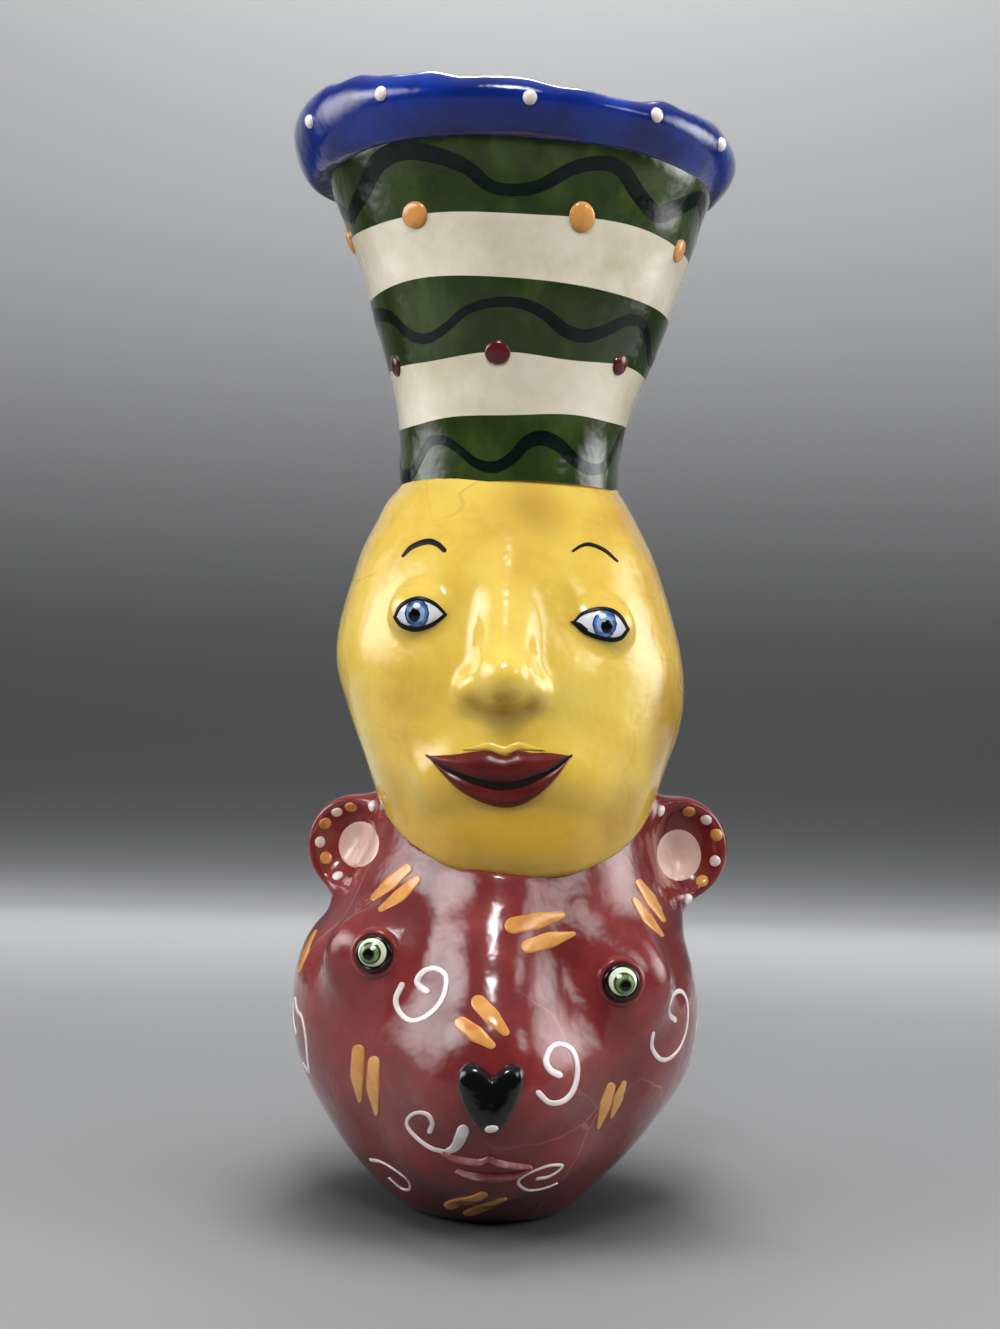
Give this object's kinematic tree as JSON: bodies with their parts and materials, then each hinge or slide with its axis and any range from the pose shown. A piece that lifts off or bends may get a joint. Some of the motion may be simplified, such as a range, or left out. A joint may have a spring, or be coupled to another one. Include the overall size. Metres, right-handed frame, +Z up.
{
  "type": "face vase",
  "caption": "Tall hand-built flower vase: a bear's head with round ears carries a human face that wears a flared striped hat with a wide rolled brim.",
  "frame": {"origin": "middle of the flat underside of the foot slab", "axes": "+Z up along the vase, -Y towards the viewer that both faces look at, +X to that viewer's right"},
  "size_m": [0.1697, 0.1863, 0.4049],
  "materials": {
    "slab_glaze": "glossy",
    "bear_glaze": "glossy",
    "nose_glaze": "glossy",
    "bead_ring_glaze": "glossy",
    "bead_glaze": "glossy",
    "face_glaze": "glossy",
    "eye_glaze": "glossy",
    "lip_glaze": "glossy",
    "hat_glaze": "glossy",
    "orange_slip": "glossy",
    "maroon_slip": "glossy",
    "brim_glaze": "glossy",
    "white_slip": "glossy"
  },
  "bodies": {
    "root": {"base_slab": "slab_glaze", "bear_head": "bear_glaze", "bear_ear_left": "bear_glaze", "bear_ear_right": "bear_glaze", "bear_muzzle": "bear_glaze", "bear_nose": "nose_glaze", "bear_upper_lip": "bear_glaze", "bear_lower_lip": "bear_glaze", "bear_eye_ring_left": "bead_ring_glaze", "bear_eye_ring_right": "bead_ring_glaze", "bear_eye_bead_left": "bead_glaze", "bear_eye_bead_right": "bead_glaze", "face_vessel": "face_glaze", "face_nose": "face_glaze", "face_eyelids_left": "face_glaze", "face_eyelids_right": "face_glaze", "face_eye_left": "eye_glaze", "face_eye_right": "eye_glaze", "face_upper_lip": "lip_glaze", "face_lower_lip": "lip_glaze", "hat": "hat_glaze", "hat_orange_dots": "orange_slip", "hat_maroon_dots": "maroon_slip", "brim": "brim_glaze", "brim_dots": "white_slip"}
  },
  "joints": []
}
